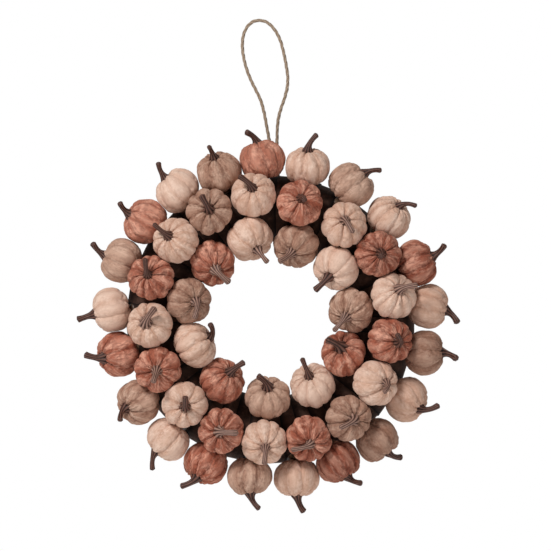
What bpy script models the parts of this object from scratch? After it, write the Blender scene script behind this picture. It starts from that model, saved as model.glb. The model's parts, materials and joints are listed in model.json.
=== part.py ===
"""Harvest door wreath: velvet pumpkins glued in three rows round a ribbon-wrapped foam ring, on a twine loop.

World frame, in metres: +Z up, the door's face is the plane Y = 0, and the wreath's front looks along -Y.
The origin is the point on the door where the hook that carries the twine loop is fixed.
The wreath itself is laid out in its own frame: x to the right, y up, z from the door towards the viewer,
with its origin at the ring's centre. A clock angle runs clockwise from 12 o'clock as the viewer sees it.
"""

from math import acos, asin, atan2, ceil, cos, floor, pi, radians, sin, sqrt

import bmesh
import bpy
from mathutils import Matrix, Vector

MM = 0.001

# Foam ring and its ribbon
RING_RADIUS = 118.5 * MM  # ring's centre to the middle of its section
TUBE_RADIUS = 34.5 * MM  # half the ring's width
TUBE_DEPTH = 15 * MM  # door to the widest plane of the ring's section
RIBBON_THICKNESS = 0.8 * MM
RIBBON_SEAM = 3 * MM  # width of the seam along the back
RING_STEPS = 42
ARC_STEPS = 10

# Pumpkins
PUMPKIN_WIDTH = 46 * MM
PUMPKIN_HEIGHT = 39 * MM
PUMPKIN_FULLNESS = 2.2  # exponent of its superelliptic outline: 2 is an ellipse
PUMPKIN_GAP = 0.4 * MM  # between two pumpkins
LOBES = 8
GROOVE = 0.07  # depth of a groove, as a share of the radius there
LOBE_RINGS = 6
DIMPLE_DEPTH = 3.5 * MM
DIMPLE_RADIUS = 9 * MM

# Stems
STEM_LENGTH = 22 * MM  # floor of the dimple to the tip
STEM_RADIUS = 2.7 * MM
STEM_FOOT = 1.9  # widening at the foot, as a multiple of the stem's radius
STEM_ROOT = 4 * MM  # how far the foot is set into the pumpkin
STEM_POINTS = 4

# Glue
GLUE_THICKNESS = 1.2 * MM
GLUE_WIDTH = 8 * MM

# Hanger
TWINE_DIAMETER = 3.6 * MM
TWINE_STEP = 8 * MM
KNOT_RADIUS = 4.4 * MM
PIN_WIRE = 1.6 * MM
PIN_WIDTH = 12 * MM  # between the middles of the legs
PIN_DEPTH = 6.5 * MM  # door to the pin's plane
PIN_LEG = 34 * MM
PIN_BEND = 2.5 * MM
PIN_ASIDE = 3 * MM  # pin to the right of the ring's top
EYE_PLAY = 0.7 * MM  # between the pin's crown and the twine that goes round it
FIT = 0.3 * MM  # clearance between touching pieces

# The twine loop: (x, y, z) in millimetres from the hook, up the left strand and down the right one.
LOOP_ROUTE = (
    (12.5, -6.5, -146), (11.6, -6.3, -137), (10.2, -6.1, -126), (7.6, -5.9, -112),
    (5.0, -5.6, -98), (1.2, -5.3, -84), (-4.0, -5.0, -73), (-9.4, -4.7, -62),
    (-14.0, -4.4, -50), (-17.2, -4.1, -37), (-18.4, -3.8, -24), (-16.8, -3.6, -12.5),
    (-12.4, -3.5, -4), (-6.6, -3.5, 0.6), (0, -3.5, 1.8), (6.6, -3.5, 0.4),
    (12.4, -3.6, -3.8), (18.2, -3.8, -11.4), (22.6, -4.0, -21), (25.8, -4.3, -33),
    (28.4, -4.6, -46), (30.1, -4.9, -59), (29.4, -5.2, -71), (26.2, -5.5, -83),
    (22.4, -5.8, -94), (19.8, -6.0, -105), (18.8, -6.2, -117), (18.6, -6.3, -129),
    (17.8, -6.4, -138), (17.1, -6.5, -146),
)

CREAM, TAN, TERRACOTTA = "velvet_cream", "velvet_tan", "velvet_terracotta"
FOAM, RIBBON, GLUE, TWINE, STEEL = "foam", "ribbon", "glue", "twine", "pin_steel"

# colour, roughness, metallic
FINISHES = {
    CREAM: ((0.72, 0.52, 0.40), 0.9, 0.0),
    TAN: ((0.45, 0.30, 0.22), 0.9, 0.0),
    TERRACOTTA: ((0.42, 0.13, 0.07), 0.9, 0.0),
    FOAM: ((0.75, 0.74, 0.70), 0.8, 0.0),
    RIBBON: ((0.02, 0.014, 0.014), 0.85, 0.0),
    GLUE: ((0.60, 0.52, 0.36), 0.4, 0.0),
    TWINE: ((0.38, 0.27, 0.17), 0.95, 0.0),
    STEEL: ((0.55, 0.55, 0.56), 0.35, 1.0),
}

# One line for each pumpkin, clockwise from the top, with angles in degrees:
# velvet, shift round the ring, shift over the section towards the outside,
# lean of its axis from the viewer and the lean's clock angle, and the same two for its stem.
# Clock angles here are counted from the pumpkin's own place round the ring.
OUTER_ROW = (
    (TERRACOTTA, -1.8, 2, 88, -12, 62, -40),
    (CREAM, -2.3, -1, 68, -13, 85, 15),
    (TAN, -2.1, -2, 85, 18, 64, 46),
    (CREAM, -0.8, -1, 62, -7, 58, 38),
    (TERRACOTTA, 1.1, -4, 82, 0, 66, -21),
    (CREAM, 0.5, -1, 88, 19, 68, 48),
    (TAN, 0.4, -3, 85, -12, 56, 8),
    (CREAM, 1.7, -1, 66, 2, 85, -38),
    (TAN, 2.6, 3, 98, 1, 124, -24),
    (TERRACOTTA, 1.7, -2, 84, -9, 52, -38),
    (CREAM, 0.4, 4, 90, 9, 85, -12),
    (TAN, 0.3, -2, 85, -10, 72, -36),
    (TERRACOTTA, -0.1, 0, 68, 8, 85, 35),
    (CREAM, -0.9, -2, 92, 4, 85, -28),
    (TAN, -0.5, -2, 52, 7, 40, -35),
    (TERRACOTTA, 1.6, -1, 58, -1, 84, 21),
    (CREAM, 0.6, 2, 88, -18, 84, -20),
    (TAN, 1.5, 1, 90, -4, 68, 21),
    (TERRACOTTA, 1.1, 1, 75, -13, 56, 9),
    (CREAM, -0.3, 3, 84, -9, 66, 11),
    (TAN, -0.8, -1, 60, 1, 40, -5),
)
MIDDLE_ROW = (
    (CREAM, -0.8, 4, 24, 0, 62, -39),
    (TERRACOTTA, 0, -3, 15, 0, 12, 110),
    (CREAM, 2.5, -2, 15, -38, 46, 110),
    (TERRACOTTA, 2.0, 4, 8, 22, 8, 142),
    (CREAM, 3.2, 2, 30, -41, 66, -6),
    (TERRACOTTA, 2.2, -2, 28, -3, 24, -114),
    (CREAM, 1.0, -3, 35, -31, 24, 73),
    (TAN, -0.1, -1, 15, -37, 48, 102),
    (TERRACOTTA, -1.1, -1, 16, 5, 72, 92),
    (CREAM, -1.5, -2, 16, -16, 52, 1),
    (TERRACOTTA, -1.8, -3, 4, 67, 64, -110),
    (CREAM, -1.1, -3, 5, -90, 32, 140),
    (TERRACOTTA, -0.7, 0, 3, -66, 34, -51),
    (CREAM, -1.1, -2, 15, 53, 60, 125),
    (TERRACOTTA, 0.9, 5, 15, 30, 54, 63),
    (CREAM, -0.9, 1, 28, -6, 72, -1),
    (TAN, -1.6, 3, 5, 30, 48, 3),
)
INNER_ROW = (
    (CREAM, -1.0, 5, 53, 159, 58, 156),
    (TAN, -0.9, 0, 33, -165, 50, -143),
    (CREAM, 0.3, 4, 45, 169, 80, 173),
    (TAN, -2.5, 0, 31, 138, 70, 139),
    (TERRACOTTA, -1.7, 1, 27, -143, 56, -175),
    (CREAM, -3.7, -5, 40, -167, 80, -168),
    (TAN, -0.8, -5, 42, 178, 52, 140),
    (TERRACOTTA, 2.8, -5, 45, -177, 70, -165),
    (CREAM, 3.6, -1, 78, 169, 44, 116),
    (TAN, 2.7, 6, 28, 174, 54, -101),
    (TERRACOTTA, 0.9, 2, 27, -162, 74, 178),
)
# name, pumpkins, first pumpkin's clock angle in degrees, rows outside the middle one
ROWS = (
    ("outer", OUTER_ROW, -1.3, 1),
    ("middle", MIDDLE_ROW, -7.0, 0),
    ("inner", INNER_ROW, -13.4, -1),
)
MIDDLE_RISE = radians(9)  # place of the middle row over the section, outwards from its front
SETTLE_ROUNDS = 400

FRONT = Vector((0, 0, 1))

# Places that follow from the sizes
COVER_RADIUS = TUBE_RADIUS + FIT + RIBBON_THICKNESS  # ribbon's outer face
SEAT_RADIUS = COVER_RADIUS + FIT + GLUE_THICKNESS + FIT  # where a pumpkin's underside rests
EYE_RADIUS = PIN_WIRE / 2 + EYE_PLAY + TWINE_DIAMETER / 2  # eye's centreline round the crown
EYE_REACH = EYE_RADIUS + TWINE_DIAMETER / 2
CROWN_HEIGHT = RING_RADIUS + COVER_RADIUS + FIT + EYE_REACH
KNOT_HEIGHT = CROWN_HEIGHT + EYE_RADIUS + KNOT_RADIUS
KNOT_TOP = KNOT_HEIGHT + KNOT_RADIUS

STRAND_FOOT = (Vector(LOOP_ROUTE[0]) + Vector(LOOP_ROUTE[-1])) / 2 * MM
RING_CENTRE = Vector((STRAND_FOOT.x - PIN_ASIDE, 0, STRAND_FOOT.z - FIT - KNOT_TOP))
WREATH = Matrix.Translation(RING_CENTRE) @ Matrix.Rotation(radians(90), 4, "X")


# ---- Blender helpers ----


def clear_scene():
    for obj in list(bpy.data.objects):
        bpy.data.objects.remove(obj)


def make_collection(name):
    collection = bpy.data.collections.new(name)
    bpy.context.scene.collection.children.link(collection)
    return collection


def make_material(name):
    colour, roughness, metallic = FINISHES[name]
    material = bpy.data.materials.new(name)
    material.use_nodes = True
    shader = material.node_tree.nodes["Principled BSDF"]
    shader.inputs["Base Color"].default_value = (*colour, 1)
    shader.inputs["Roughness"].default_value = roughness
    shader.inputs["Metallic"].default_value = metallic
    material.diffuse_color = (*colour, 1)
    return material


def add_object(name, data, finish, matrix=None):
    """A part of the wreath, placed in the wreath's own frame."""
    obj = bpy.data.objects.new(name, data)
    PARTS.objects.link(obj)
    obj.matrix_world = WREATH @ (matrix or Matrix.Identity(4))
    if finish:
        obj.data.materials.append(MATERIALS[finish])
    return obj


def make_helper(obj):
    """Keeps a cutter or a joined shape out of the render."""
    PARTS.objects.unlink(obj)
    HELPERS.objects.link(obj)
    obj.hide_render = True
    obj.display_type = "WIRE"
    return obj


def mesh_from_bmesh(name, shape):
    mesh = bpy.data.meshes.new(name)
    shape.to_mesh(mesh)
    shape.free()
    return mesh


def tube_curve(name, points, radius, sides_level, widths=None):
    """A round tube along a line of points, with closed ends."""
    curve = bpy.data.curves.new(name, "CURVE")
    curve.dimensions = "3D"
    curve.bevel_depth = radius
    curve.bevel_resolution = sides_level
    curve.use_fill_caps = True
    spline = curve.splines.new("POLY")
    spline.points.add(len(points) - 1)
    for i, place in enumerate(points):
        spline.points[i].co = (*place, 1)
        spline.points[i].radius = widths[i] if widths else 1
    return curve


def mesh_of_curve(obj):
    """The curve object's tube as a mesh object with welded caps, in the curve's place."""
    bpy.context.view_layer.update()
    evaluated = obj.evaluated_get(bpy.context.evaluated_depsgraph_get())
    mesh = bpy.data.meshes.new_from_object(evaluated)
    shape = bmesh.new()
    shape.from_mesh(mesh)
    bmesh.ops.remove_doubles(shape, verts=shape.verts, dist=FIT / 10)
    shape.to_mesh(mesh)
    shape.free()
    solid = bpy.data.objects.new(obj.name, mesh)
    solid.matrix_world = obj.matrix_world
    PARTS.objects.link(solid)
    bpy.data.objects.remove(obj)
    return solid


def add_boolean(obj, other, operation):
    modifier = obj.modifiers.new(operation.lower(), "BOOLEAN")
    modifier.operation = operation
    modifier.object = other
    modifier.solver = "EXACT"


def turned(name, profile, finish):
    """A ring turned round the wreath's axis. The closed profile's points are (radius, height)."""
    shape = bmesh.new()
    verts = [shape.verts.new((radius, 0, height)) for radius, height in profile]
    for i, vert in enumerate(verts):
        shape.edges.new((vert, verts[(i + 1) % len(verts)]))
    obj = add_object(name, mesh_from_bmesh(name, shape), finish)
    screw = obj.modifiers.new("turn", "SCREW")
    screw.steps = screw.render_steps = RING_STEPS
    screw.merge_threshold = FIT / 10
    screw.use_merge_vertices = True
    return obj


# ---- Foam ring, ribbon and glue ----


def section(offset, seam):
    """The ring's D-shaped section, grown by an offset, from the back's inner side over the front to its outer side.
    A seam of some width leaves the middle of the back open."""
    radius = TUBE_RADIUS + offset
    back = RIBBON_THICKNESS + FIT - offset
    corner = pi - acos((TUBE_DEPTH - back) / radius)
    angles = [corner * (2 * i / ARC_STEPS - 1) for i in range(ARC_STEPS + 1)]
    points = [(RING_RADIUS + radius * sin(a), TUBE_DEPTH + radius * cos(a)) for a in angles]
    if seam:
        points = [(RING_RADIUS - seam / 2, back), *points, (RING_RADIUS + seam / 2, back)]
    return points


def make_foam_ring():
    return turned("foam_ring", section(0, 0), FOAM)


def make_ribbon_wrap():
    """The ribbon that covers the foam, as one skin with its seam along the back."""
    inside = section(FIT, RIBBON_SEAM)
    outside = section(FIT + RIBBON_THICKNESS, RIBBON_SEAM)
    return turned("ribbon_wrap", [*outside, *reversed(inside)], RIBBON)


def make_glue_bead(name, rise):
    """A flattened bead of hot-melt glue, under one row of pumpkins."""
    half = GLUE_WIDTH / 2 / COVER_RADIUS
    low = (COVER_RADIUS + FIT) / cos(half)  # its flat underside clears the ribbon between its edges
    high = low + GLUE_THICKNESS
    corners = ((high, -half), (high, half), (low, half), (low, -half))
    profile = [
        (RING_RADIUS + r * sin(rise + a), TUBE_DEPTH + r * cos(rise + a)) for r, a in corners
    ]
    return turned(f"{name}_glue_bead", profile, GLUE)


# ---- Where the pumpkins sit ----


def support(cosine):
    """How far a pumpkin reaches from its centre along a direction at that cosine to its axis."""
    power = PUMPKIN_FULLNESS / (PUMPKIN_FULLNESS - 1)
    sine = sqrt(max(0, 1 - cosine * cosine))
    across = (PUMPKIN_WIDTH / 2 * sine) ** power
    along = (PUMPKIN_HEIGHT / 2 * abs(cosine)) ** power
    return (across + along) ** (1 / power)


SEAT_DISTANCE = SEAT_RADIUS + support(cos(radians(30)))  # section's middle to a pumpkin's centre
ROW_STEP = 2 * asin((2 * support(cos(radians(45))) + PUMPKIN_GAP) / 2 / SEAT_DISTANCE)


def clockwise(angle):
    """The direction from the ring's centre to that clock angle."""
    return Vector((sin(angle), cos(angle), 0))


def leaning(lean, clock):
    """The direction that leans from the viewer towards that clock angle."""
    return sin(lean) * clockwise(clock) + cos(lean) * FRONT


class Pumpkin:
    def __init__(self, name, velvet, clock, rise, axis, stem_direction):
        self.name = name
        self.velvet = velvet
        self.clock = clock  # place round the ring
        self.rise = rise  # place over the section, outwards from its front
        self.axis = axis
        self.stem_direction = stem_direction

    def centre(self):
        radial = clockwise(self.clock)
        normal = sin(self.rise) * radial + cos(self.rise) * FRONT
        distance = SEAT_RADIUS + support(normal.dot(self.axis))
        return radial * RING_RADIUS + FRONT * TUBE_DEPTH + normal * distance

    def push(self, move):
        """Slides it over the ring by the part of a move that lies along the ring's surface."""
        radial = clockwise(self.clock)
        round_ring = Vector((cos(self.clock), -sin(self.clock), 0))
        over_section = cos(self.rise) * radial - sin(self.rise) * FRONT
        self.clock += move.dot(round_ring) / (RING_RADIUS + SEAT_DISTANCE * sin(self.rise))
        self.rise += move.dot(over_section) / SEAT_DISTANCE


def row_rise(rows_out):
    return MIDDLE_RISE + rows_out * ROW_STEP


def row_of_pumpkins(name, table, first_clock, rows_out):
    """The row's pumpkins, evenly spaced but for their own shifts. A row holds as many as have room."""
    rise = row_rise(rows_out)
    length = 2 * pi * (RING_RADIUS + SEAT_DISTANCE * sin(rise))
    count = min(len(table), floor(length / (PUMPKIN_WIDTH + PUMPKIN_GAP)))
    row = []
    for i in range(count):
        velvet, shift, shift_out, lean, lean_clock, stem_lean, stem_clock = table[i]
        clock = radians(first_clock + 360 * i / count + shift)
        axis = leaning(radians(lean), clock + radians(lean_clock))
        stem_direction = leaning(radians(stem_lean), clock + radians(stem_clock))
        row_name = f"{name}_pumpkin_{i + 1:02d}"
        row.append(
            Pumpkin(row_name, velvet, clock, rise + radians(shift_out), axis, stem_direction)
        )
    return row


def settle(pumpkins):
    """Slides crowded pumpkins apart over the ring until none presses into another."""
    for _ in range(SETTLE_ROUNDS):
        crowded = False
        for i, one in enumerate(pumpkins):
            for other in pumpkins[i + 1 :]:
                between = other.centre() - one.centre()
                if between.length > PUMPKIN_WIDTH * 1.1:
                    continue
                way = between.normalized()
                room = support(way.dot(one.axis)) + support(way.dot(other.axis)) + PUMPKIN_GAP
                if between.length < room:
                    crowded = True
                    move = way * (room - between.length) * 0.55
                    one.push(-move)
                    other.push(move)
        if not crowded:
            return


# ---- Pumpkins ----


def power_of(value, exponent):
    return abs(value) ** exponent * (1 if value > 0 else -1)


def lobed_mesh(name):
    """A pumpkin on its own axis, z: a sphere reshaped to a full, lobed body with a dimple at each end."""
    shape = bmesh.new()
    bmesh.ops.create_uvsphere(shape, u_segments=2 * LOBES, v_segments=LOBE_RINGS, radius=1)
    exponent = 2 / PUMPKIN_FULLNESS
    for vert in shape.verts:
        sine = sqrt(vert.co.x**2 + vert.co.y**2)
        turn = atan2(vert.co.y, vert.co.x)
        groove = GROOVE * (1 - cos(LOBES * turn)) / 2
        radius = PUMPKIN_WIDTH / 2 * sine**exponent * (1 - groove)
        height = PUMPKIN_HEIGHT / 2 * power_of(vert.co.z, exponent)
        dimple = DIMPLE_DEPTH * max(0, 1 - radius / DIMPLE_RADIUS)
        height -= dimple if height > 0 else -dimple
        vert.co = (radius * cos(turn), radius * sin(turn), height)
    return mesh_from_bmesh(name, shape)


def stem_points(axis, direction):
    """The stem's centreline from inside the body: out along the axis, then bending to its own direction."""
    foot = axis * (PUMPKIN_HEIGHT / 2 - DIMPLE_DEPTH)
    bend = foot + axis * STEM_LENGTH / 2
    tip = foot + direction * STEM_LENGTH
    points = [foot - axis * STEM_ROOT]
    for i in range(STEM_POINTS):
        t = i / (STEM_POINTS - 1)
        points.append(foot * (1 - t) ** 2 + bend * 2 * t * (1 - t) + tip * t**2)
    return points


def make_pumpkin(pumpkin, mesh, spin):
    """A velvet body with its stem set into the dimple and glued there, so that the two are one piece."""
    centre = pumpkin.centre()
    turn = pumpkin.axis.to_track_quat("Z", "Y").to_matrix().to_4x4()
    placed = Matrix.Translation(centre) @ turn @ Matrix.Rotation(spin, 4, "Z")
    body = add_object(pumpkin.name, mesh, None, placed)
    widths = [STEM_FOOT, STEM_FOOT, *[1] * (STEM_POINTS - 1)]
    line = stem_points(pumpkin.axis, pumpkin.stem_direction)
    curve = tube_curve(f"{pumpkin.name}_stem", line, STEM_RADIUS, 1, widths)
    stem = add_object(curve.name, curve, None, Matrix.Translation(centre))
    add_boolean(body, make_helper(mesh_of_curve(stem)), "UNION")
    return body


def make_pumpkins(pumpkins):
    meshes = {}
    for number, pumpkin in enumerate(pumpkins):
        if pumpkin.velvet not in meshes:
            meshes[pumpkin.velvet] = lobed_mesh(pumpkin.velvet)
            meshes[pumpkin.velvet].materials.append(MATERIALS[pumpkin.velvet])
        make_pumpkin(pumpkin, meshes[pumpkin.velvet], number * radians(137.5))


# ---- Hanger ----


def wreath_point(x, height, depth):
    return Vector((x, height, depth))


def arc(centre, start, end, radius, steps):
    """Points of an arc in the wreath's x-y plane, with angles from +x, anticlockwise."""
    turn = [start + (end - start) * i / steps for i in range(steps + 1)]
    return [centre + radius * Vector((cos(a), sin(a), 0)) for a in turn]


def make_pin():
    """The U-shaped pin pushed down into the top of the ring. The hanger turns on its crown."""
    half = PIN_WIDTH / 2
    corner_height = CROWN_HEIGHT - PIN_BEND
    left = wreath_point(PIN_ASIDE - half + PIN_BEND, corner_height, PIN_DEPTH)
    right = wreath_point(PIN_ASIDE + half - PIN_BEND, corner_height, PIN_DEPTH)
    points = [wreath_point(PIN_ASIDE - half, CROWN_HEIGHT - PIN_LEG, PIN_DEPTH)]
    points += arc(left, pi, pi / 2, PIN_BEND, 3)
    points += arc(right, pi / 2, 0, PIN_BEND, 3)
    points += [wreath_point(PIN_ASIDE + half, CROWN_HEIGHT - PIN_LEG, PIN_DEPTH)]
    return add_object("hanger_pin", tube_curve("hanger_pin", points, PIN_WIRE / 2, 2), STEEL)


def drill_for_pin(*pieces):
    """Cuts the pin's two leg holes, as deep as the legs and their clearance."""
    length = PIN_LEG + FIT
    for side in (-1, 1):
        shape = bmesh.new()
        radius = PIN_WIRE / 2 + FIT
        bmesh.ops.create_cone(
            shape, cap_ends=True, segments=8, radius1=radius, radius2=radius, depth=length
        )
        middle = wreath_point(
            PIN_ASIDE + side * PIN_WIDTH / 2, CROWN_HEIGHT - length / 2, PIN_DEPTH
        )
        upright = Matrix.Translation(middle) @ Matrix.Rotation(radians(90), 4, "X")
        name = f"pin_hole_{side}"
        cutter = make_helper(add_object(name, mesh_from_bmesh(name, shape), None, upright))
        for piece in pieces:
            add_boolean(piece, cutter, "DIFFERENCE")


def make_knot():
    """The twine's knot, with the eye that goes round the pin's crown."""
    shape = bmesh.new()
    bmesh.ops.create_uvsphere(shape, u_segments=12, v_segments=8, radius=KNOT_RADIUS)
    place = wreath_point(PIN_ASIDE, KNOT_HEIGHT, PIN_DEPTH)
    knot = add_object(
        "hanger_knot", mesh_from_bmesh("hanger_knot", shape), TWINE, Matrix.Translation(place)
    )
    bpy.ops.mesh.primitive_torus_add(
        major_segments=12,
        minor_segments=8,
        major_radius=EYE_RADIUS,
        minor_radius=TWINE_DIAMETER / 2,
    )
    eye = bpy.context.object
    for collection in list(eye.users_collection):
        collection.objects.unlink(eye)
    eye.name = "knot_eye"
    PARTS.objects.link(eye)
    crown = wreath_point(PIN_ASIDE, CROWN_HEIGHT, PIN_DEPTH)
    upright = Matrix.Translation(crown) @ Matrix.Rotation(radians(90), 4, "Y")
    eye.matrix_world = WREATH @ upright
    add_boolean(knot, make_helper(eye), "UNION")
    return knot


def smooth_route(route, step):
    """Points about a step apart on the smooth curve through the route's points."""
    ends = [route[0] * 2 - route[1], *route, route[-1] * 2 - route[-2]]
    points = []
    for i in range(1, len(ends) - 2):
        before, start, end, after = ends[i - 1 : i + 3]
        pieces = ceil((end - start).length / step)
        for k in range(pieces):
            t = k / pieces
            bent = (end - before) * t
            bent += (before * 2 - start * 5 + end * 4 - after) * t**2
            bent += (start * 3 - before - end * 3 + after) * t**3
            points.append(start + bent / 2)
    return [*points, route[-1]]


def make_loop():
    route = [Vector(point) * MM for point in LOOP_ROUTE]
    curve = tube_curve("hanger_loop", smooth_route(route, TWINE_STEP), TWINE_DIAMETER / 2, 2)
    loop = add_object("hanger_loop", curve, TWINE)
    loop.matrix_world = Matrix.Identity(4)
    return loop


def make_wreath():
    foam = make_foam_ring()
    ribbon = make_ribbon_wrap()
    pumpkins = []
    for name, table, first_clock, rows_out in ROWS:
        make_glue_bead(name, row_rise(rows_out))
        pumpkins += row_of_pumpkins(name, table, first_clock, rows_out)
    settle(pumpkins)
    make_pumpkins(pumpkins)
    make_pin()
    drill_for_pin(foam, ribbon)
    make_knot()
    make_loop()


clear_scene()
PARTS = make_collection("harvest_door_wreath")
HELPERS = make_collection("cutters")
MATERIALS = {name: make_material(name) for name in FINISHES}
make_wreath()
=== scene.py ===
"""Harvest door wreath: the looks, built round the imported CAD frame.

Everything is in metres in the frame's own axes: +Z up, the front looks along -Y, the door's face is Y = 0.
Each pumpkin's place, axis and stem are read from its CAD node, and the ring's section from the ribbon's node.
"""

import json

from math import acos, ceil, cos, pi, radians, sin, sqrt, tau

import bpy
import numpy as np
from mathutils import Matrix, Vector


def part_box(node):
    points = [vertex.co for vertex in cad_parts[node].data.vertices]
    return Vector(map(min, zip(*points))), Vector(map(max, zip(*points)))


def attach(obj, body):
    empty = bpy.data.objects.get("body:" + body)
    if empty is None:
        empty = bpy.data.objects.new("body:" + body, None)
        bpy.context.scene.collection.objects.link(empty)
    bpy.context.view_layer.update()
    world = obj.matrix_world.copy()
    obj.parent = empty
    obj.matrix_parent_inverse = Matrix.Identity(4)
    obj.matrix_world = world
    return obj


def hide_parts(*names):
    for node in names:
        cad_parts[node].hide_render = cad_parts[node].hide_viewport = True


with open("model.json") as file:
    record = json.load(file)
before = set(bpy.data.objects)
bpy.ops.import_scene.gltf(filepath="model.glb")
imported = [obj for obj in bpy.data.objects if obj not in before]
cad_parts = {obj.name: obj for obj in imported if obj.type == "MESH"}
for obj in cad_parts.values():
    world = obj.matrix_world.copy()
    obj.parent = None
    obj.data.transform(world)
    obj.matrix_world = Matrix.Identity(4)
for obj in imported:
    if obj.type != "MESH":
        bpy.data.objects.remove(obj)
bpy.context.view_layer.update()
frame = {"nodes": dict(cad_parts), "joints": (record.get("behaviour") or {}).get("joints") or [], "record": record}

MM = 0.001

# Camera
CAMERA_DISTANCE = 2.4  # to the pumpkins' middle
VIEW_WIDTH = 578.6 * MM  # what the picture takes in at the pumpkins' middle
PUMPKIN_DEPTH = -50 * MM  # Y of the outer row's middle
VIEW_ASIDE = 5.2 * MM  # picture's middle to the right of the ring's
VIEW_RAISE = 46.7 * MM  # and above it
SENSOR_WIDTH = 36  # millimetres, as Blender has it
FLOOR_HEIGHT = -0.8
FLOOR_EDGES = (-10, 10, -10, 1.5)  # left, right, front and back
FLOOR_GLOW = 0.3  # keeps it pale under the dim surround
SURROUND_LIGHT = 0.18
KEY_POWER = 47
FILL_POWER = 8
BACK_POWER = 11

# Twine
TWINE_DIAMETER = 3.6 * MM
TWINE_STEP = 0.8 * MM
TWINE_PITCH = 22 * MM  # one turn of the strands
TWINE_STRANDS = 3
STRAND_SIDES = 16
PLIES = 5  # ridges round a strand
PLY_DEPTH = 0.09
STRAND_SHARE = 0.6  # a strand's radius, as a share of the twine's
TWINE_HAIRS = 260
HAIR_RADIUS = 0.05 * MM
HAIR_LENGTH = (1 * MM, 2.3 * MM)
EYE_DIAMETER = 3.2 * MM
KNOT_HAIRS = 22
EYE_HAIRS = 10
KNOT_TURNS = 2.25
KNOT_PITCH = 2.9 * MM
STRAND_INSET = 1.1 * MM  # from the knot's middle to a strand's inside it
STRAND_OVERLAP = 1 * MM  # of the strands in the knot with the loop's ends
PIN_BEND = 2.5 * MM  # as in part.py
PIN_SIDES = 20
PIN_LEG_POINTS = 20
PIN_BEND_POINTS = 10

# The twine loop's route, as in part.py: (x, y, z) in millimetres, up the left strand and down the right one.
LOOP_ROUTE = (
    (12.5, -6.5, -146), (11.6, -6.3, -137), (10.2, -6.1, -126), (7.6, -5.9, -112),
    (5.0, -5.6, -98), (1.2, -5.3, -84), (-4.0, -5.0, -73), (-9.4, -4.7, -62),
    (-14.0, -4.4, -50), (-17.2, -4.1, -37), (-18.4, -3.8, -24), (-16.8, -3.6, -12.5),
    (-12.4, -3.5, -4), (-6.6, -3.5, 0.6), (0, -3.5, 1.8), (6.6, -3.5, 0.4),
    (12.4, -3.6, -3.8), (18.2, -3.8, -11.4), (22.6, -4.0, -21), (25.8, -4.3, -33),
    (28.4, -4.6, -46), (30.1, -4.9, -59), (29.4, -5.2, -71), (26.2, -5.5, -83),
    (22.4, -5.8, -94), (19.8, -6.0, -105), (18.8, -6.2, -117), (18.6, -6.3, -129),
    (17.8, -6.4, -138), (17.1, -6.5, -146),
)

# Pumpkin bodies
BODY_SIDES = 150  # about: each lobe has the same whole number
BODY_RINGS = 79  # an odd number
BODY_SWELL = 1.045  # velvet body's width, as a multiple of its CAD solid's
BODY_ROUNDNESS = 0.91  # power of the outline's sine and cosine: 1 is an ellipse
BODY_HEIGHT = 0.85  # as a share of its width
RING_CROWDING = 0.05  # closer rings near the poles
COLUMN_CROWDING = 0.4  # and closer columns at the grooves
LOBE_UNEVENNESS = 0.26
PLEAT_UNEVENNESS = 0.45
TOP_PLEATS = 0.62  # how far they reach down, in radians
LOW_PLEATS = 0.45  # and how far the lower ones reach up
LONG_PLEATS = 1.5
LONG_PLEAT_SHARE = 0.6  # of the other pleats' depth
CRUMPLES = (30 * MM, 13 * MM, 9)  # longest and shortest wave, and how many
FINE_CRUMPLES = (12 * MM, 5 * MM, 14)
FINE_CRUMPLE_SHARE = 0.35
STEM_CLEAR = 25 * MM  # above the back pole, everything higher may be stem
DIMPLE_DEPTH = 5 * MM
DIMPLE_RADIUS = 6.5 * MM
CLEARANCE = 0.1 * MM  # between two bodies that press on each other, from each to the middle
PRESS_SOFTNESS = 0.4 * MM
RING_CLEARANCE = 0.3 * MM

# Their cloth simulation
CLOTH_SCALE = 10  # the solver suits larger sizes
CLOTH_FRAMES = 14
SPARE_CLOTH = (-0.025, -0.06)  # shrinking factors of cream velvet and the others: below 0 is fabric to spare
CLOTH_PRESSURE = 4
CLOTH_QUALITY = 4  # solver steps a frame
CLOTH_DAMPING = 5
HELD_RADIUS = 9 * MM  # round the stem
MOST_MOVE = 1.6 * MM

# Stems
STEM_SIDES = 54
STEM_RINGS = 44
STEM_ROOT = 4 * MM
STEM_FOOT = 1.25  # widening at the foot, as a share of the stem's radius
STEM_FLARE = 0.07  # how far up it the widening starts to fall, as a share of its length
STEM_THICKNESS = (0.95, 1.3)  # from and to, as multiples of its CAD radius
STEM_TAPER = (-0.1, 0.45)
STEM_RIDGES = (7, 10)
STEM_TWIST = 1.1  # radians at most, from foot to tip
RIDGE_DEPTH = 0.17  # as a share of the stem's radius
FOOT_RIDGES = 0.24  # and how much more at its foot

# Glue
DAB_RADIUS = 8.5 * MM
DAB_HEIGHT = 2.2 * MM  # over the ribbon
DAB_SINK = 1.2 * MM  # of its edge under the ribbon's face
DAB_ROOT = 2.2 * MM
DAB_RINGS = 7
DAB_SIDES = 28

# Ribbon
RIBBON_WIDTH = 33 * MM
RIBBON_TURNS = 42
RIBBON_THICKNESS = 0.25 * MM
RIBBON_LIFT = 0.7 * MM  # one edge over the other
RIBBON_FLAT = 0.7 * MM  # how far it cuts the corner between its edges, outside the ring
RIBBON_RIPPLE = 0.1 * MM  # on its inner and back sides
RIBBON_COLUMNS = 9
ARC_COLUMNS = 44
BACK_COLUMNS = 14

# Colours, linear: each velvet's base, pale and deep. Pale also serves as painted highlight and painted light, deep
# as painted shade
CREAM = ((0.64, 0.41, 0.305), (0.78, 0.58, 0.47), (0.45, 0.25, 0.17))
TAN = ((0.41, 0.230, 0.160), (0.64, 0.43, 0.325), (0.17, 0.074, 0.045))
TERRACOTTA = ((0.36, 0.105, 0.060), (0.74, 0.38, 0.27), (0.10, 0.022, 0.012))

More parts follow.
